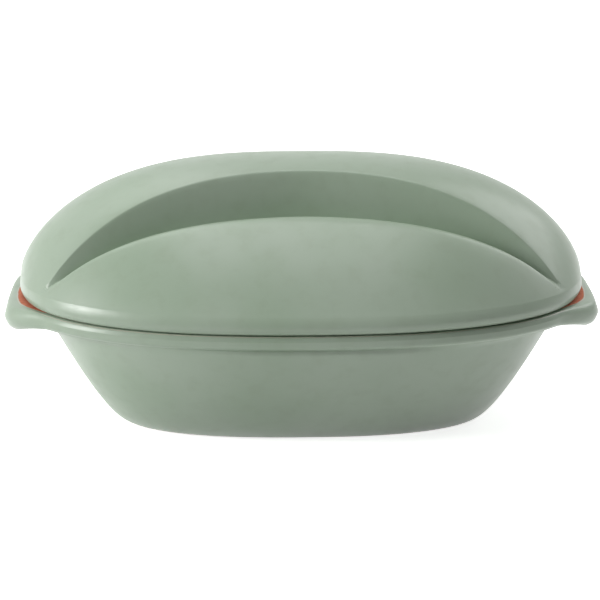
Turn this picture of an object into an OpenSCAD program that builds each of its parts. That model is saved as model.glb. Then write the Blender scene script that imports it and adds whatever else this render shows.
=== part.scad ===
// Oval clay roaster: a glazed dish with two end lugs and a domed lid that
// rests on it. A finger groove on each side of the lid leaves a waisted ridge
// between them, which is the lid's handle.
// Millimetres. X runs along the length, Z is up, and the dish stands on Z = 0.

/* [Dish] */
// Length of the dish over its rim, without the lugs
dish_len = 380; // [340:1:420]
// Width of the dish over its rim
dish_wid = 247; // [220:1:270]
// Height of the dish from the table to the top of its rim
dish_h = 87; // [75:1:110]
// Power of the rim's outline: 2 is an ellipse, more is squarer
rim_power = 2.4; // [2.2:0.05:3]
// Length of the tub at its top, between the lugs
tub_len = 342; // [320:1:360]
// Width of the tub at its top
tub_wid = 239; // [210:1:245]
// Length of the flat foot
foot_len = 241; // [200:1:260]
// Width of the flat foot
foot_wid = 120; // [90:1:140]
// Thickness of the clay wall
dish_wall = 8; // [6:0.5:11]
// Thickness of the clay floor
dish_floor = 9; // [7:0.5:13]
// Height of the upright band under the rim
rim_band_h = 8.5; // [6:0.5:12]

/* [Lid seat] */
// How far the lid's edge is set back from the edge of the dish
lid_set_back = 1.6; // [0.5:0.1:3]
// Radius of the rim's edge, where the bare seat meets the glaze
seat_round = 2.4; // [1.5:0.1:3]

/* [Lugs] */
// How far a lug reaches out past the rim
lug_out = 7.5; // [4:0.5:16]
// Width of a lug across the dish
lug_wid = 156; // [140:1:180]
// How far a lug's lip turns down from the top of the rim
lug_drop = 19; // [16:0.5:28]
// Depth of the finger recess under a lug, from its lip up
lug_recess = 7.5; // [4:0.5:9]
// Thickness of a lug's lip
lug_lip = 9; // [6:0.5:12]
// How far a lug's edge bows out in the middle
lug_bow = 7; // [2:0.5:9]

/* [Lid] */
// Height of the closed roaster, from the table to the top of the ridge
closed_h = 178; // [150:1:200]
// Height of the lid's rim, from the seat to the foot of the dome
lid_band_h = 12.5; // [10:0.5:20]
// Thickness of the lid's clay wall
lid_wall = 7; // [6:0.5:9]
// Power of the dome's long profile near its ends
dome_power = 2.8; // [2.4:0.02:3.2]
// Roundness of the dome's long profile: less is boxier
dome_round = 0.64; // [0.6:0.01:0.8]

/* [Grip] */
// Width of the ridge at its waist
ridge_waist = 59; // [50:1:70]
// How much wider the ridge is towards its ends
ridge_flare = 64; // [40:1:70]
// Distance from the middle at which that flare is measured
flare_at = 160; // [150:1:175]
// Power of the flare: 1 spreads evenly, more spreads late
flare_power = 1.7; // [1.4:0.02:2.2]
// Width of a finger groove at the middle of the lid
groove_wid = 38; // [28:0.5:44]
// Distance from the middle to the tips of the grooves
groove_reach = 168; // [160:1:175]
// Steepness of the ridge's side, as rise over run
ridge_steep = 6; // [3:0.1:8]
// Steepness of the bank from the groove up to the panel, as rise over run
bank_steep = 0.6; // [0.5:0.05:1.1]

/* [Hidden] */
glaze = [0.56, 0.64, 0.55];
lid_glaze = [0.6, 0.67, 0.59];

// Half the points round an outline, so that both ends of the length get one
half_count = 50;
loop_count = 2 * half_count;

lid_a = dish_len / 2 - lid_set_back;
lid_b = dish_wid / 2 - lid_set_back;
dome_z = dish_h + lid_band_h;

// A value between two others, and a smooth step from 0 to 1
function mix(a, b, share) = a + (b - a) * share;
function clamp01(value) = max(0, min(1, value));
function smooth_step(value) = let (u = clamp01(value)) u * u * (3 - 2 * u);

// The smaller and the larger of two heights, with a round of the given size between
function soft_min(a, b, size) = (a + b - sqrt(pow(a - b, 2) + size * size)) / 2;
function soft_max(a, b, size) = (a + b + sqrt(pow(a - b, 2) + size * size)) / 2;

// One coordinate of a rounded outline at an angle
function bulge(part, power) = sign(part) * pow(abs(part), 2 / power);

// Angle of outline point k: from the left end over the back to the right end
// and home over the front, clockwise as seen from above
function loop_angle(k) = 180 - 180 * k / half_count;

// A level loop of points: half length, half width, height and power
function level_loop(a, b, z, power) = [
    for (k = [0 : loop_count - 1])
        let (angle = loop_angle(k))
        [a * bulge(cos(angle), power), b * bulge(sin(angle), power), z]
];

// Faces between each loop and the next, for loops laid end to end in one list
function loft_faces(loops, start) = [
    for (r = [0 : loops - 2], k = [0 : loop_count - 1])
        let (here = start + r * loop_count, next = (k + 1) % loop_count)
        each [
            [here + k, here + loop_count + k, here + loop_count + next],
            [here + k, here + loop_count + next, here + next]
        ]
];

// Outside of the dish
wall_top_z = dish_h - rim_band_h;
rim_a = dish_len / 2;
rim_b = dish_wid / 2;
tub_top_z = wall_top_z - 3.5;
foot_power = 2.5;

// How early the wall leaves the table at the ends and at the sides: 0 is a
// straight slope and 1 is a square corner
end_belly = 0.23;
side_belly = 0.3;
wall_rings = 8;

// Share of the way out from the foot to the wall's top at a share of the height
function spread(height_share, belly) =
    let (root = sqrt(height_share))
    height_share + 2 * belly * (root - height_share);

// Half length, half width and power of the tub's outline at a share of its height
function tub_a(share) = mix(foot_len / 2, tub_len / 2, spread(share, end_belly));
function tub_b(share) = mix(foot_wid / 2, tub_wid / 2, spread(share, side_belly));
function tub_power(share) = mix(foot_power, rim_power, share);

// How much of a lug there is at a distance from the middle line: 1 across its
// flat and 0 where it has run out into the rim band
function lug_share(y, flat) = 1 - smooth_step((abs(y) / (lug_wid / 2) - flat) / (1 - flat));

// A loop that is level along the sides and drawn out into the lugs at the
// ends: inset and height at the rim, then the share of the way out to the
// lug's edge, the inset from that edge and the height there
function lug_loop(step) = [
    for (k = [0 : loop_count - 1])
        let (
            angle = loop_angle(k),
            x = (rim_a - step[0]) * bulge(cos(angle), rim_power),
            y = (rim_b - step[0]) * bulge(sin(angle), rim_power),
            edge = rim_a + lug_out - step[3] - lug_bow * pow(2 * y / lug_wid, 2),
            out = step[2] * lug_share(y, lug_flat) * (edge - abs(x))
        )
        [x + sign(x) * out, y, mix(step[1], step[4], lug_share(y, drop_flat))]
];

lip_z = dish_h - lug_drop;
recess_z = lip_z + lug_recess;
mouth_a = tub_len / 2 - 0.75 * dish_wall;
mouth_b = tub_wid / 2 - dish_wall;
floor_inset = dish_wall / 3;

// Share of a lug's width that reaches full length, and that hangs full depth
lug_flat = 0.84;
drop_flat = 0.5;

// The rim's section from the seat outwards and down to the tub, as lug_loop
// reads it; the first row is where the bare seat ends
rim_steps = [
    [lid_set_back + 0.4, dish_h, 0.33, 0, dish_h],
    [0.3 * seat_round, dish_h - 0.3 * seat_round, 0.8, 0, dish_h - 0.4],
    [0, dish_h - seat_round, 0.96, 0, dish_h - 1.8],
    [0, mix(dish_h, wall_top_z, 0.5), 1, 0, dish_h - 4.9],
    [0, wall_top_z + 2.5, 1, 1.6, mix(dish_h, lip_z, 0.5)],
    [0.2, wall_top_z + 1.4, 1, 3.6, lip_z + 3],
    [0.8, wall_top_z + 0.4, 1, 6, lip_z + 0.6],
    [1.7, wall_top_z - 0.3, 1, 0.9 * lug_lip, lip_z],
    [2.8, wall_top_z - 0.8, 1, lug_lip + 3.5, lip_z + 2],
    [3.6, wall_top_z - 1.8, 1, 2 * lug_lip, recess_z]
];

dish_loops = [
    // inside, from the floor up to the mouth
    for (r = [0 : wall_rings])
        let (share = pow(r / wall_rings, 2))
        level_loop(
            mix(tub_a(0) - floor_inset, mouth_a, spread(share, end_belly)),
            mix(tub_b(0) - floor_inset, mouth_b, spread(share, side_belly)),
            mix(dish_floor, dish_h - 2, share),
            tub_power(share)
        ),
    // the flat seat, its rounded edge and the band outside it
    level_loop(mouth_a + 0.5, mouth_b + 0.5, dish_h - 0.6, rim_power),
    level_loop(mouth_a + 1.6, mouth_b + 1.6, dish_h, rim_power),
    for (step = rim_steps) lug_loop(step),
    // the outside of the tub, from under the band down to the foot
    for (r = [wall_rings : -1 : 0])
        let (share = pow(r / wall_rings, 2))
        level_loop(tub_a(share), tub_b(share), tub_top_z * share, tub_power(share))
];

// One piece of fired clay: tub, rim and both lugs
module dish() {
    loops = len(dish_loops);
    last = (loops - 1) * loop_count;
    inside_floor = [for (k = [0 : loop_count - 1]) k];
    foot = [for (k = [loop_count - 1 : -1 : 0]) last + k];
    color(glaze)
        polyhedron(
            points = [for (ring = dish_loops) each ring],
            faces = concat([inside_floor], loft_faces(loops, 0), [foot]),
            convexity = 6
        );
}

// Inset of the dome's foot from the lid's rim, at the ends and at the sides,
// where the panel rolls over into the rim
end_roll = 0.6;
side_roll = 2.8;

// Half width of a rounded outline at a distance along it
function half_width(x, a, b) = b * pow(max(0, 1 - pow(abs(x) / a, rim_power)), 1 / rim_power);

// Height of the dome over its middle line, with its skin set in by a wall
function spine_z(x, inset) =
    let (reach = lid_a - inset)
    dome_z + (closed_h - inset - dome_z)
        * pow(max(0, 1 - pow(abs(x) / reach, dome_power)), dome_round);

// Height of the plain dome, as if it had no grooves
function dome_height(x, y, inset) =
    let (half = half_width(x, lid_a - end_roll - inset, lid_b - side_roll - inset))
    mix(dome_z, spine_z(x, inset), half > 0 ? max(0, 1 - pow(y / half, 2)) : 0);

// Distance from the middle line to the ridge's edge, which flares until it
// meets the lid's outline, and the width of the groove beside it
outline_share = 0.94;
outline_blend = 3;
groove_power = 0.95;
function ridge_y(x) =
    let (flared = ridge_waist / 2 + ridge_flare / 2 * pow(abs(x) / flare_at, flare_power))
    soft_min(flared, outline_share * half_width(x, lid_a, lid_b), outline_blend);
function groove_at(x) = groove_wid * pow(max(0, 1 - pow(x / groove_reach, 2)), groove_power);

// Rounds as shares of the groove's width: at its bottom, at the ridge's edge
// and at the panel's crest; a groove narrower than the least is left out
bottom_round = 0.15;
ridge_round = 0.06;
crest_round = 0.12;
least_groove = 0.2;

// Height of the lid's skin: the dome, cut down to a groove that falls steeply
// from the ridge's edge and climbs gently to the panel's crest
function lid_height(x, y, inset) =
    let (
        dome = dome_height(x, y, inset),
        groove = groove_at(x),
        edge = ridge_y(x) - inset,
        crest = ridge_y(x) + groove + 0.6 * inset,
        wall = dome_height(x, edge, inset) - ridge_steep * (abs(y) - edge),
        bank = dome_height(x, crest, inset) - bank_steep * (crest - abs(y)),
        valley = soft_max(wall, bank, bottom_round * groove),
        across = clamp01((abs(y) - edge) / max(1, groove)),
        round_size = mix(ridge_round, crest_round, across) * groove
    )
    groove > least_groove ? soft_min(dome, valley, round_size) : dome;

// Where the section's points lie: on the ridge as shares of its half width, in
// the groove as shares of its width, and on the panel as shares of the rest
ridge_shares = [0.35, 0.65, 0.85, 0.95];
groove_shares = [0, 0.05, 0.1, 0.17, 0.27, 0.4, 0.55, 0.7, 0.82, 0.92, 1.02];
panel_shares = [0.15, 0.42, 0.72];
inner_ridge_shares = [0.5, 0.85];
inner_groove_shares = [0, 0.12, 0.28, 0.5, 0.75, 1];
inner_panel_shares = [0.5];

// Distances from the middle line of a half section, from the middle outwards
function half_section(x, half, inset, on_ridge, in_groove, on_panel) =
    let (
        edge = min(ridge_y(x) - inset, 0.9 * half),
        crest = mix(edge, half, 0.06) + min(groove_at(x) + 0.5 * inset, 0.7 * (half - edge))
    )
    concat(
        [for (share = on_ridge) share * edge],
        [for (share = in_groove) mix(edge, crest, share)],
        [for (share = on_panel) mix(crest, half, share)]
    );

// Inner points of one cross section, from the front to the back
function section_points(i, a, b, inset, on_ridge, in_groove, on_panel) =
    let (
        x = a * bulge(cos(loop_angle(i)), rim_power),
        half = half_width(x, a, b),
        ys = half_section(x, half, inset, on_ridge, in_groove, on_panel),
        count = len(ys)
    )
    [
        for (j = [count - 1 : -1 : 0]) [x, -ys[j], lid_height(x, ys[j], inset)],
        [x, 0, lid_height(x, 0, inset)],
        for (j = [0 : count - 1]) [x, ys[j], lid_height(x, ys[j], inset)]
    ];

// Index of grid point j on section i: its ends lie on the loop at loop_start
function grid_index(i, j, columns, loop_start, grid_start) =
    i == 0 ? loop_start
    : i == half_count ? loop_start + half_count
    : j == 0 ? loop_start + loop_count - i
    : j == columns ? loop_start + i
    : grid_start + (i - 1) * (columns - 1) + j - 1;

// Faces of a skin stretched over the sections, facing up or down
function skin_faces(columns, loop_start, grid_start, up) = [
    for (i = [0 : half_count - 1], j = [0 : columns - 1])
        let (
            p = grid_index(i, j, columns, loop_start, grid_start),
            q = grid_index(i, j + 1, columns, loop_start, grid_start),
            r = grid_index(i + 1, j + 1, columns, loop_start, grid_start),
            s = grid_index(i + 1, j, columns, loop_start, grid_start)
        )
        each [
            if (p != q) (up ? [p, q, r] : [p, r, q]),
            if (r != s) (up ? [p, r, s] : [p, s, r])
        ]
];

// The rim of the lid, from the foot of the dome down to the seat and up
// inside: inset at the ends, inset at the sides, and height
lid_steps = [
    [end_roll, side_roll, dome_z],
    [0.6 * end_roll, 0.6 * side_roll, dome_z - 1.7],
    [0.3 * end_roll, 0.3 * side_roll, dome_z - 3.4],
    [0, 0.08 * side_roll, dome_z - 5.4],
    [0, 0, dish_h + 4.6],
    [0.5, 0.5, dish_h + 1.7],
    [1.4, 1.4, dish_h + 0.4],
    [2.6, 2.6, dish_h],
    [lid_wall - 0.8, lid_wall - 0.8, dish_h],
    [lid_wall, lid_wall, dish_h + 0.8],
    [lid_wall + end_roll, lid_wall + side_roll, dome_z]
];
lid_loops = [
    for (step = lid_steps) level_loop(lid_a - step[0], lid_b - step[1], step[2], rim_power)
];

// One piece of fired clay: dome, ridge and rim, hollow underneath
module lid() {
    outer_columns = 2 * (len(ridge_shares) + len(groove_shares) + len(panel_shares)) + 2;
    inner_columns =
        2 * (len(inner_ridge_shares) + len(inner_groove_shares) + len(inner_panel_shares)) + 2;
    last_loop = (len(lid_loops) - 1) * loop_count;
    outer_start = len(lid_loops) * loop_count;
    inner_start = outer_start + (half_count - 1) * (outer_columns - 1);
    color(lid_glaze)
        polyhedron(
            points = concat(
                [for (ring = lid_loops) each ring],
                [
                    for (i = [1 : half_count - 1])
                        each section_points(
                            i, lid_a - end_roll, lid_b - side_roll, 0,
                            ridge_shares, groove_shares, panel_shares
                        )
                ],
                [
                    for (i = [1 : half_count - 1])
                        each section_points(
                            i, lid_a - lid_wall - end_roll, lid_b - lid_wall - side_roll, lid_wall,
                            inner_ridge_shares, inner_groove_shares, inner_panel_shares
                        )
                ]
            ),
            faces = concat(
                skin_faces(outer_columns, 0, outer_start, true),
                loft_faces(len(lid_loops), 0),
                skin_faces(inner_columns, last_loop, inner_start, false)
            ),
            convexity = 8
        );
}

dish();
lid();
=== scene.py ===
# A clay roaster: an oval glazed dish with a lug at each end, and the domed lid that rests on it
import math

import bpy
import numpy as np
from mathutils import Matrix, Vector


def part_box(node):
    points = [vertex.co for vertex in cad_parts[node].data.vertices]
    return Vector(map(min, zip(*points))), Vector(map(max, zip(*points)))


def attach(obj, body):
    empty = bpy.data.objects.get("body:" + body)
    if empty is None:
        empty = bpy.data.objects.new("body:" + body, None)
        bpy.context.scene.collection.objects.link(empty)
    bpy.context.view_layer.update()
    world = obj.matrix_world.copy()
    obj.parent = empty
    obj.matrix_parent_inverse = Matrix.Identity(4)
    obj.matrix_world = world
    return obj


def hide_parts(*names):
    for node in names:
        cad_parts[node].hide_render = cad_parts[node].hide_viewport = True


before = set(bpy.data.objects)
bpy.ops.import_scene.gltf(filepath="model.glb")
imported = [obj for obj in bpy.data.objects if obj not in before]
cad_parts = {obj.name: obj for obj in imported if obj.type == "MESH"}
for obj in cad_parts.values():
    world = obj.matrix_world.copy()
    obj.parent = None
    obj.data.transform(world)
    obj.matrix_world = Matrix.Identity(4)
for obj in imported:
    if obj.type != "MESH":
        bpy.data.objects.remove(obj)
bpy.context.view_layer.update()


# The dish
# One piece of slip-cast clay: a tub on a flat foot, a flat rim that carries the lid and a lug at
# each end. It is glazed inside and out, but the seat under the lid and the foot stay bare clay.

dish_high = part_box("dish")[1]
lid_overhang = 0.002
rim_top = dish_high.z
rim_half_len = 0.189
rim_half_wid = dish_high.y - lid_overhang
rim_power = 2.4
rim_band = 0.0085
band_slope = 0.0035
edge_radius = 0.0034
under_band = rim_top - rim_band

tub_half_len = 0.171
tub_half_wid = 0.1195
tub_top = under_band - band_slope
foot_half_len = 0.1205
foot_half_wid = 0.060
foot_power = 2.5
end_belly = 0.23
side_belly = 0.3
wall = 0.008
floor_thick = 0.009
mouth_half_len = tub_half_len - 0.75 * wall
mouth_half_wid = tub_half_wid - wall
floor_half_len = foot_half_len - wall / 3
floor_half_wid = foot_half_wid - wall / 3
floor_shares = (0.85, 0.97)
mouth_drop = 0.0020
mouth_roll = [(0.0004, 0.0008), (0.0016, 0)]

lug_reach = dish_high.x - rim_half_len
lug_width = 0.140
lug_flat = 0.49
lug_bow = 0.009
bow_at = 0.075
bow_power = 3.8
droop_width = 0.152
droop_flat = 0.25
lip_z = rim_top - 0.0215
lip_thick = 0.009
recess_z = lip_z + 0.0085

around_dish = 400
tub_rows = 56
rows_per_step = 5

bare_foot_rows = 5
glaze_runs_in = 3.4
fully_bare = 4


def mix(a, b, share):
    return a + (b - a) * share


def smooth_step(value):
    value = np.clip(value, 0, 1)
    return value * value * (3 - 2 * value)


def outline(half_len, half_wid, power, count):
    """Points of a rounded oval, from the left end over the back to the right end and home."""
    turn = math.pi * (1 - 2 * np.arange(count) / count)
    across, along = np.sin(turn), np.cos(turn)
    across[0] = across[count // 2] = 0
    x = half_len * np.sign(along) * np.abs(along) ** (2 / power)
    y = half_wid * np.sign(across) * np.abs(across) ** (2 / power)
    return x, y


def level_ring(half_len, half_wid, z, power, count):
    x, y = outline(half_len, half_wid, power, count)
    return np.stack([x, y, np.full(count, z)], axis=1)


def spread(share, belly):
    """How far out the wall is at a share of its height."""
    return share + 2 * belly * (math.sqrt(share) - share)


def lug_share(y, width, flat):
    """1 across the flat of a lug, 0 where it has run out into the band."""
    return 1 - smooth_step((np.abs(y) / (width / 2) - flat) / (1 - flat))


def rim_ring(step):
    """A ring level along the sides and drawn out into the lugs at the ends."""
    inset, z, reach, lug_inset, lug_z = step
    inset = max(inset, 0)
    x, y = outline(rim_half_len - inset, rim_half_wid - inset, rim_power, around_dish)
    edge = rim_half_len + lug_reach - lug_inset - lug_bow * np.abs(y / bow_at) ** bow_power
    x = x + np.sign(x) * reach * lug_share(y, lug_width, lug_flat) * (edge - np.abs(x))
    return np.stack([x, y, mix(z, lug_z, lug_share(y, droop_width, droop_flat))], axis=1)


def eased(steps, between):
    """Rows of numbers with smooth rows put in between them."""
    steps = np.array(steps)
    padded = np.vstack([2 * steps[0] - steps[1], steps, 2 * steps[-1] - steps[-2]])
    rows = []
    for i in range(1, len(padded) - 2):
        p0, p1, p2, p3 = padded[i - 1 : i + 3]
        for t in np.arange(between) / between:
            rows.append(
                p1
                + 0.5 * t * (p2 - p0)
                + t * t * (p0 - 2.5 * p1 + 2 * p2 - 0.5 * p3)
                + t**3 * (1.5 * (p1 - p2) + 0.5 * (p3 - p0))
            )
    rows.append(steps[-1])
    return rows


# The outer ring of the seat, then the rim outwards and down: inset and height along the sides, the
# share of the way out to a lug's edge, then inset from that edge and height at the lug
seat_step = [0.0045, rim_top, 0.12, 0, rim_top]
rim_steps = [
    [0.0020, rim_top, 0.26, 0, rim_top],
    [0.3 * edge_radius, rim_top - 0.3 * edge_radius, 0.62, 0, rim_top - 0.0008],
    [0, rim_top - edge_radius, 0.80, 0, rim_top - 0.0024],
    [0, rim_top - 0.5 * rim_band, 0.93, 0, rim_top - 0.0068],
    [0, under_band + 0.0025, 1, 0.0004, rim_top - 0.0112],
    [0.0002, under_band + 0.0014, 1, 0.0027, lip_z + 0.0040],
    [0.0008, under_band + 0.0004, 1, 0.0054, lip_z + 0.0013],
    [0.0017, under_band - 0.0003, 1, 0.0092, lip_z],
    [0.0028, under_band - 0.0008, 1, 0.0130, lip_z + 0.0018],
    [0.0036, under_band - 0.0018, 1, 2 * lip_thick, recess_z],
]

# Up the inside, over the mouth and the seat, round the rim, down the outside and under the foot
rings = [
    level_ring(
        part * floor_half_len, part * floor_half_wid, floor_thick, foot_power, around_dish
    )
    for part in floor_shares
]
for r in range(tub_rows + 1):
    share = (r / tub_rows) ** 2
    rings.append(
        level_ring(
            mix(floor_half_len, mouth_half_len, spread(share, end_belly)),
            mix(floor_half_wid, mouth_half_wid, spread(share, side_belly)),
            mix(floor_thick, rim_top - mouth_drop, share),
            mix(foot_power, rim_power, share),
            around_dish,
        )
    )
mouth_row = len(rings)
for out, drop in mouth_roll:
    rings.append(
        level_ring(
            mouth_half_len + out, mouth_half_wid + out, rim_top - drop, rim_power, around_dish
        )
    )
rings.append(rim_ring(seat_step))
seat_row = len(rings)
rings += [rim_ring(step) for step in eased(rim_steps, rows_per_step)]
for r in range(tub_rows, -1, -1):
    share = (r / tub_rows) ** 2
    rings.append(
        level_ring(
            mix(foot_half_len, tub_half_len, spread(share, end_belly)),
            mix(foot_half_wid, tub_half_wid, spread(share, side_belly)),
            tub_top * share,
            mix(foot_power, rim_power, share),
            around_dish,
        )
    )
foot_row = len(rings) - bare_foot_rows
for part in reversed(floor_shares):
    rings.append(
        level_ring(part * foot_half_len, part * foot_half_wid, 0, foot_power, around_dish)
    )
rings = np.array(rings)


def bare_depth(rings, stretches):
    """Millimetres from the nearest edge of the glaze: above 0 on bare clay, below 0 on glaze."""
    paces = np.linalg.norm(np.diff(rings, axis=0, prepend=rings[:1]), axis=2)
    walked = np.cumsum(paces, axis=0)
    depth = np.full(walked.shape, -1.0)
    for first, last in stretches:
        inside = np.minimum(walked - walked[first], walked[last] - walked)
        depth = np.maximum(depth, inside)
    return np.clip(1000 * depth, -fully_bare, fully_bare)


def deselect_all():
    bpy.ops.object.select_all(action="DESELECT")


def rolled_sheet(name, rings, depth):
    """A wall of clay: a flat sheet rolled round, with each of its rows laid on one ring."""
    rows, around = rings.shape[:2]
    deselect_all()
    bpy.ops.mesh.primitive_grid_add(x_subdivisions=around, y_subdivisions=rows - 1, size=2)
    piece = bpy.context.object
    piece.name = piece.data.name = name
    flat = np.array([v.co[:] for v in piece.data.vertices])
    column = np.rint((flat[:, 0] + 1) / 2 * around).astype(int) % around
    row = np.rint((flat[:, 1] + 1) / 2 * (rows - 1)).astype(int)
    piece.data.vertices.foreach_set("co", rings[row, column].ravel())
    bare = piece.data.attributes.new("bare_depth", "FLOAT", "POINT")
    bare.data.foreach_set("value", depth[row, column])
    return piece


def close_up(piece):
    """Joins what meets, closes the holes that are left and turns every face outwards."""
    deselect_all()
    piece.select_set(True)
    bpy.context.view_layer.objects.active = piece
    bpy.ops.object.mode_set(mode="EDIT")
    bpy.ops.mesh.select_all(action="SELECT")
    bpy.ops.mesh.remove_doubles(threshold=2e-6)
    bpy.ops.mesh.fill_holes(sides=0)
    bpy.ops.mesh.select_all(action="SELECT")
    bpy.ops.mesh.normals_make_consistent(inside=False)
    bpy.ops.object.mode_set(mode="OBJECT")
    bpy.ops.object.shade_smooth()


# Along the sides the glaze runs in under the lid's rim, and the foot is bare from its corner on
dish_depth = bare_depth(rings, [(mouth_row, seat_row), (foot_row, len(rings) - 1)])
along_sides = 1 - lug_share(rings[:, :, 1], lug_width, lug_flat)
outer_seat = slice(seat_row - 1, seat_row + 1)
dish_depth[outer_seat] -= (glaze_runs_in * along_sides)[outer_seat]
dish_depth[foot_row + bare_foot_rows - 1 :] = fully_bare
dish = rolled_sheet("glazed_dish", rings, dish_depth)
close_up(dish)


def srgb(red, green, blue):
    """A colour as it looks on a screen, 0 to 255, as linear light."""
    parts = [c / 255 for c in (red, green, blue)]
    return [c / 12.92 if c <= 0.04045 else ((c + 0.055) / 1.055) ** 2.4 for c in parts] + [1]


def mixed(tree, share, first, second):
    node = tree.nodes.new("ShaderNodeMix")
    node.data_type = "RGBA"
    sockets = (node.inputs[0], node.inputs[6], node.inputs[7])
    for socket, value in zip(sockets, (share, first, second)):
        if isinstance(value, bpy.types.NodeSocket):
            tree.links.new(value, socket)
        else:
            socket.default_value = value
    return node.outputs[2]


def ranged(tree, value, low, high, to_low=0.0, to_high=1.0):
    node = tree.nodes.new("ShaderNodeMapRange")
    node.interpolation_type = "SMOOTHSTEP"
    tree.links.new(value, node.inputs["Value"])
    names = ("From Min", "From Max", "To Min", "To Max")
    for name, number in zip(names, (low, high, to_low, to_high)):
        node.inputs[name].default_value = number
    return node.outputs["Result"]


def clay_noise(tree, place, scale, detail):
    node = tree.nodes.new("ShaderNodeTexNoise")
    tree.links.new(place, node.inputs["Vector"])
    node.inputs["Scale"].default_value = scale
    node.inputs["Detail"].default_value = detail
    return node.outputs["Fac"]


def edge_highlight_share(tree, edge_ramp):
    """1 on the line where the glaze runs out, and 0 away from it: the mask of the pale line that is
    partly thin glaze and partly painted highlight.
    """
    back = tree.nodes.new("ShaderNodeMath")
    back.operation = "PINGPONG"
    back.inputs[1].default_value = 0.5
    tree.links.new(edge_ramp, back.inputs[0])
    double = tree.nodes.new("ShaderNodeMath")
    double.operation = "MULTIPLY"
    double.inputs[1].default_value = 2
    tree.links.new(back.outputs[0], double.inputs[0])
    return double.outputs[0]


glaze_tone = srgb(148, 166, 145)
glaze_pale = srgb(162, 176, 160)
glaze_speck = srgb(120, 128, 104)
# thin_glaze_and_painted_highlight is paler than both glaze and clay: partly thin glaze at the
# glaze's edge, partly a painted highlight of the light caught along the seat's edge.
thin_glaze_and_painted_highlight = srgb(214, 196, 186)
clay_tone = srgb(196, 110, 82)
clay_pale = srgb(208, 126, 98)
clay_grain = srgb(128, 74, 58)
edge_wobble = 1.1
bare_roughness = 0.85


def glazed_clay(name):
    """Satin glaze over fired clay, which shows wherever bare_depth is above 0."""
    finish = bpy.data.materials.new(name)
    finish.use_nodes = True
    tree = finish.node_tree
    shader = tree.nodes["Principled BSDF"]
    place = tree.nodes.new("ShaderNodeTexCoord").outputs["Object"]

    cloud = clay_noise(tree, place, 11, 2)
    mottle = clay_noise(tree, place, 95, 4)
    grain = clay_noise(tree, place, 900, 3)
    pits = clay_noise(tree, place, 320, 6)

    depth = tree.nodes.new("ShaderNodeAttribute")
    depth.attribute_name = "bare_depth"
    # The noise makes the edge of the glaze wander by part of a millimetre
    wobble = tree.nodes.new("ShaderNodeMath")
    wobble.operation = "MULTIPLY_ADD"
    tree.links.new(clay_noise(tree, place, 130, 3), wobble.inputs[0])
    wobble.inputs[1].default_value = edge_wobble
    tree.links.new(depth.outputs["Fac"], wobble.inputs[2])
    edge = wobble.outputs[0]
    bare = ranged(tree, edge, 0.45, 0.75)
    edge_ramp = ranged(tree, edge, -0.5, 0.5)

    # A pale line is mixed in along the edge of the glaze: thin glaze, and a painted highlight where
    # the seat's edge catches the light.
    edge_highlight_line = ranged(tree, edge_highlight_share(tree, edge_ramp), 0.0, 1.0, 0.0, 0.75)
    tone = mixed(tree, ranged(tree, cloud, 0.35, 0.65, 0.0, 0.55), glaze_tone, glaze_pale)
    tone = mixed(tree, ranged(tree, mottle, 0.45, 0.75, 0.0, 0.12), tone, glaze_speck)
    tone = mixed(tree, edge_highlight_line, tone, thin_glaze_and_painted_highlight)
    clay = mixed(tree, ranged(tree, pits, 0.35, 0.7), clay_tone, clay_pale)
    clay = mixed(tree, ranged(tree, grain, 0.6, 0.75, 0.0, 0.35), clay, clay_grain)
    tree.links.new(mixed(tree, bare, tone, clay), shader.inputs["Base Color"])

    gloss = tree.nodes.new("ShaderNodeMix")
    tree.links.new(bare, gloss.inputs[0])
    tree.links.new(ranged(tree, mottle, 0.3, 0.7, 0.29, 0.35), gloss.inputs[2])
    gloss.inputs[3].default_value = bare_roughness
    tree.links.new(gloss.outputs[0], shader.inputs["Roughness"])

    swell = tree.nodes.new("ShaderNodeBump")
    swell.inputs["Strength"].default_value = 0.25
    swell.inputs["Distance"].default_value = 0.0004
    tree.links.new(clay_noise(tree, place, 55, 2), swell.inputs["Height"])
    rough = tree.nodes.new("ShaderNodeBump")
    rough.inputs["Distance"].default_value = 0.0003
    tree.links.new(ranged(tree, bare, 0.0, 1.0, 0.04, 0.6), rough.inputs["Strength"])
    tree.links.new(grain, rough.inputs["Height"])
    tree.links.new(swell.outputs["Normal"], rough.inputs["Normal"])
    tree.links.new(rough.outputs["Normal"], shader.inputs["Normal"])
    return finish


glaze = glazed_clay("sage_glaze_on_clay")
dish.data.materials.append(glaze)
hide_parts("dish")
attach(dish, "root")


# The lid
# One piece of slip-cast clay, loose on the seat: a hollow dome, cut by a finger groove along each
# side so that a waisted ridge is left as its handle. Glazed outside, bare inside and where it sits.

lid_low, lid_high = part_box("lid")
lid_half_len = lid_high.x
lid_half_wid = dish_high.y
lid_seat = lid_low.z
lid_top = lid_high.z
dome_foot = lid_seat + 0.0125
lid_wall = 0.007
dome_power = 2.8
dome_round = 0.64
end_roll = 0.0006
side_roll = 0.0028

ridge_waist = 0.059
ridge_flare = 0.064
flare_at = 0.160
flare_power = 1.7
outline_share = 0.94
outline_blend = 0.003
groove_wid = 0.0365
groove_reach = 0.174
groove_power = 0.95
tip_fade = 0.024
ridge_steep = 6
bank_steep = 0.6
bottom_round = 0.15
ridge_round = 0.06
crest_round = 0.22
inside_crest = 0.6

lid_sections = 240
widest_ridge = 0.9
least_groove = 0.06
widest_groove = 0.7
inside_spread = 0.5
narrowest_groove = 0.001
almost_nothing = 1e-9


def soft_min(a, b, size):
    return (a + b - np.sqrt((a - b) ** 2 + size**2)) / 2


def soft_max(a, b, size):
    return (a + b + np.sqrt((a - b) ** 2 + size**2)) / 2


def half_width(x, half_len, half_wid):
    left = np.clip(1 - np.abs(x / half_len) ** rim_power, 0, 1)
    return half_wid * left ** (1 / rim_power)


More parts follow.
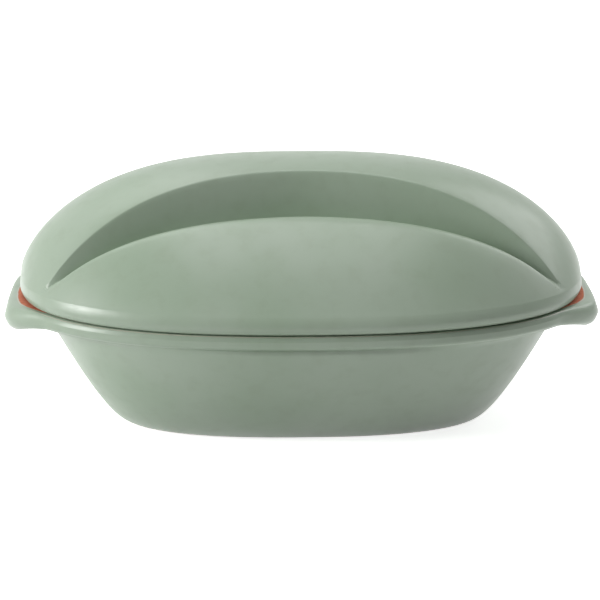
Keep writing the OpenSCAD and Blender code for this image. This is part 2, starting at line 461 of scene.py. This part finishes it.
def dome_height(x, y, inset):
    """Height of the plain dome, as if it had no grooves."""
    reach = lid_half_len - inset
    spine = dome_foot + (lid_top - inset - dome_foot) * (
        np.clip(1 - np.abs(x / reach) ** dome_power, 0, 1) ** dome_round
    )
    half = half_width(x, lid_half_len - end_roll - inset, lid_half_wid - side_roll - inset)
    share = np.clip(1 - (y / np.maximum(half, almost_nothing)) ** 2, 0, 1)
    return mix(dome_foot, spine, share)


def ridge_edge(x):
    """Half the width of the ridge: a waist that flares, held back where the oval closes in."""
    flared = ridge_waist / 2 + ridge_flare / 2 * (np.abs(x) / flare_at) ** flare_power
    held = outline_share * half_width(x, lid_half_len, lid_half_wid)
    return soft_min(flared, held, outline_blend)


def groove_width(x):
    return groove_wid * np.clip(1 - (x / groove_reach) ** 2, 0, 1) ** groove_power


def lid_height(x, y, inset):
    """The dome, cut down to a groove that falls steeply from the ridge and climbs to the panel."""
    dome = dome_height(x, y, inset)
    groove = groove_width(x)
    edge = ridge_edge(x) - inset
    crest = ridge_edge(x) + groove + inside_crest * inset
    ridge_side = dome_height(x, edge, inset) - ridge_steep * (np.abs(y) - edge)
    bank = dome_height(x, crest, inset) - bank_steep * (crest - np.abs(y))
    valley = soft_max(ridge_side, bank, bottom_round * groove)
    across = np.clip((np.abs(y) - edge) / np.maximum(narrowest_groove, groove), 0, 1)
    cut = soft_min(dome, valley, mix(ridge_round, crest_round, across) * groove)
    return dome - (dome - cut) * smooth_step((groove_reach - np.abs(x)) / tip_fade)


def half_section(x, half, inset, on_ridge, in_groove, on_panel):
    """Distances from the middle line at each place along the lid, from the middle outwards.

    The limits keep the ridge, the groove and the panel in that order at the narrow ends."""
    edge = np.minimum(ridge_edge(x) - inset, widest_ridge * half)
    wanted = groove_width(x) + inside_spread * inset
    crest = mix(edge, half, least_groove) + np.minimum(wanted, widest_groove * (half - edge))
    parts = [edge * share for share in on_ridge]
    parts += [mix(edge, crest, share) for share in in_groove]
    parts += [mix(crest, half, share) for share in on_panel]
    return np.array(parts)


def lid_skin(name, half_len, half_wid, inset, on_ridge, in_groove, on_panel, bare):
    """A skin of the lid: a flat sheet with its columns laid along the ridge, groove and panel."""
    along = math.pi * (1 - np.arange(lid_sections + 1) / lid_sections)
    x = half_len * np.sign(np.cos(along)) * np.abs(np.cos(along)) ** (2 / rim_power)
    half = half_width(x, half_len, half_wid)
    ys = half_section(x, half, inset, on_ridge, in_groove, on_panel)
    ys = np.vstack([-half, -ys[::-1], np.zeros_like(x), ys, half])
    xs = np.broadcast_to(x, ys.shape)
    points = np.stack([xs, ys, lid_height(xs, ys, inset)], axis=2)
    points[0, :, 2] = points[-1, :, 2] = dome_foot
    rows, columns = ys.shape
    deselect_all()
    bpy.ops.mesh.primitive_grid_add(x_subdivisions=columns - 1, y_subdivisions=rows - 1, size=2)
    skin = bpy.context.object
    skin.name = skin.data.name = name
    flat = np.array([v.co[:] for v in skin.data.vertices])
    column = np.rint((flat[:, 0] + 1) / 2 * (columns - 1)).astype(int)
    row = np.rint((flat[:, 1] + 1) / 2 * (rows - 1)).astype(int)
    skin.data.vertices.foreach_set("co", points[row, column].ravel())
    depth = skin.data.attributes.new("bare_depth", "FLOAT", "POINT")
    depth.data.foreach_set("value", np.full(len(flat), float(bare)))
    return skin


# Places across the ridge, the groove and the panel are shares of each one's width
outside = lid_skin(
    "domed_lid",
    lid_half_len - end_roll,
    lid_half_wid - side_roll,
    inset=0,
    on_ridge=np.linspace(0.07, 0.91, 14),
    in_groove=np.concatenate([np.linspace(-0.03, 0.34, 24), np.linspace(0.37, 1.08, 30)]),
    on_panel=np.linspace(0.1, 0.98, 24),
    bare=-fully_bare,
)
inside = lid_skin(
    "lid_inside",
    lid_half_len - lid_wall - end_roll,
    lid_half_wid - lid_wall - side_roll,
    inset=lid_wall,
    on_ridge=np.linspace(0.15, 0.9, 6),
    in_groove=np.linspace(0, 1, 16),
    on_panel=np.linspace(0.15, 0.95, 8),
    bare=fully_bare,
)

# The rim, from the foot of the dome down to the seat and up inside: inset at the ends, inset at
# the sides, and height
glaze_ends = [0.0060, 0.0060, lid_seat]
rows_per_lid_step = 4
lid_steps = [
    [end_roll, side_roll, dome_foot],
    [0.6 * end_roll, 0.6 * side_roll, dome_foot - 0.0017],
    [0.3 * end_roll, 0.3 * side_roll, dome_foot - 0.0034],
    [0, 0.08 * side_roll, dome_foot - 0.0054],
    [0.0003, 0.0003, lid_seat + 0.0056],
    [0.0012, 0.0012, lid_seat + 0.0034],
    [0.0024, 0.0024, lid_seat + 0.0017],
    [0.0036, 0.0036, lid_seat + 0.0011],
    glaze_ends,
    [lid_wall - 0.0005, lid_wall - 0.0005, lid_seat],
    [lid_wall, lid_wall, lid_seat + 0.0008],
    [lid_wall + end_roll, lid_wall + side_roll, dome_foot],
]
lid_rings = np.array([
    level_ring(
        lid_half_len - max(step[0], 0), lid_half_wid - max(step[1], 0), max(step[2], lid_seat),
        rim_power, 2 * lid_sections,
    )
    for step in eased(lid_steps, rows_per_lid_step)
])
bare_from = rows_per_lid_step * lid_steps.index(glaze_ends)
lid_depth = bare_depth(lid_rings, [(bare_from, len(lid_rings) - 1)])
lid_depth[bare_from + 2 * rows_per_lid_step :] = fully_bare
lid_rim = rolled_sheet("lid_rim", lid_rings, lid_depth)

deselect_all()
for part in (inside, lid_rim, outside):
    part.select_set(True)
bpy.context.view_layer.objects.active = outside
bpy.ops.object.join()
lid = outside
close_up(lid)
lid.data.materials.append(glaze)
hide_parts("lid")
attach(lid, "root")


# The table and the light
# A white table in a white studio, with two soft lights low on the left, a wide one overhead and
# weaker ones behind on both sides. The camera looks down a little from in front.

table_size = 12
table_white = 0.9
near_glow = 0.80
far_glow = 1.0
glow_from = 0.5
glow_to = 2.0
ambient = 0.03

deselect_all()
bpy.ops.mesh.primitive_plane_add(size=table_size, location=(0, 0, 0))
table = bpy.context.object
table.name = table.data.name = "white_table"
bpy.ops.object.transform_apply(location=True, rotation=True, scale=True)


def seen_directly(tree):
    """1 for what the camera sees, itself or by reflection, and 0 for light on its way."""
    rays = tree.nodes.new("ShaderNodeLightPath")
    total = rays.outputs["Is Camera Ray"]
    for name in ("Is Glossy Ray", "Is Transmission Ray"):
        either = tree.nodes.new("ShaderNodeMath")
        either.operation = "MAXIMUM"
        tree.links.new(total, either.inputs[0])
        tree.links.new(rays.outputs[name], either.inputs[1])
        total = either.outputs[0]
    return total


white = bpy.data.materials.new("white_table_top")
white.use_nodes = True
tree = white.node_tree
paint = tree.nodes["Principled BSDF"]
paint.inputs["Base Color"].default_value = (table_white, table_white, table_white, 1)
paint.inputs["Roughness"].default_value = 0.9
paint.inputs["Specular IOR Level"].default_value = 0
glow = tree.nodes.new("ShaderNodeEmission")
glow.inputs["Color"].default_value = (1, 1, 1, 1)
distance = tree.nodes.new("ShaderNodeVectorMath")
distance.operation = "LENGTH"
tree.links.new(tree.nodes.new("ShaderNodeTexCoord").outputs["Object"], distance.inputs[0])
whiter = ranged(tree, distance.outputs["Value"], glow_from, glow_to, near_glow, far_glow)
seen_glow = tree.nodes.new("ShaderNodeMath")
seen_glow.operation = "MULTIPLY"
tree.links.new(seen_directly(tree), seen_glow.inputs[0])
tree.links.new(whiter, seen_glow.inputs[1])
tree.links.new(seen_glow.outputs[0], glow.inputs["Strength"])
both = tree.nodes.new("ShaderNodeAddShader")
tree.links.new(paint.outputs[0], both.inputs[0])
tree.links.new(glow.outputs[0], both.inputs[1])
tree.links.new(both.outputs[0], tree.nodes["Material Output"].inputs["Surface"])
table.data.materials.append(white)

studio = bpy.data.worlds.new("white_studio")
studio.use_nodes = True
bpy.context.scene.world = studio
tree = studio.node_tree
backdrop = tree.nodes["Background"]
backdrop.inputs["Color"].default_value = (1, 1, 1, 1)
level = tree.nodes.new("ShaderNodeMapRange")
level.inputs["To Min"].default_value = ambient
level.inputs["To Max"].default_value = 1.0
tree.links.new(seen_directly(tree), level.inputs["Value"])
tree.links.new(level.outputs["Result"], backdrop.inputs["Strength"])

aim = Vector((0, 0, 0.084))


def soft_light(name, turn, height, distance, size, power):
    """A square softbox aimed at the roaster, placed by compass turn and height in degrees."""
    turn, height = math.radians(turn), math.radians(height)
    sideways = math.cos(height)
    away = Vector((sideways * math.cos(turn), sideways * math.sin(turn), math.sin(height)))
    lamp = bpy.data.lights.new(name, "AREA")
    lamp.shape = "SQUARE"
    lamp.size = size
    lamp.energy = power
    stand = bpy.data.objects.new(name, lamp)
    bpy.context.scene.collection.objects.link(stand)
    stand.location = aim + distance * away
    stand.rotation_euler = away.to_track_quat("Z", "Y").to_euler()


soft_light("left_softbox", turn=200, height=24, distance=2.5, size=0.8, power=32)
soft_light("low_left_softbox", turn=194, height=12, distance=2.5, size=0.8, power=14)
soft_light("overhead", turn=270, height=89, distance=2.2, size=1.5, power=21)
soft_light("back_left_softbox", turn=125, height=55, distance=2.2, size=1.2, power=7)
soft_light("right_rim", turn=30, height=40, distance=2.2, size=1.5, power=17)

# The lens, the shift and the camera's place were fitted to the roaster's outline in the photo
camera = bpy.data.cameras.new("camera")
camera.lens = 132.93
camera.sensor_width = 36
camera.shift_x = -0.0017
camera.shift_y = -0.0170
camera.clip_end = 20
stand = bpy.data.objects.new("camera", camera)
bpy.context.scene.collection.objects.link(stand)
stand.location = (-0.0384, -1.4439, 0.4887)
stand.rotation_euler = (aim - stand.location).to_track_quat("-Z", "Y").to_euler()
bpy.context.scene.camera = stand
bpy.context.scene.view_settings.view_transform = "Standard"
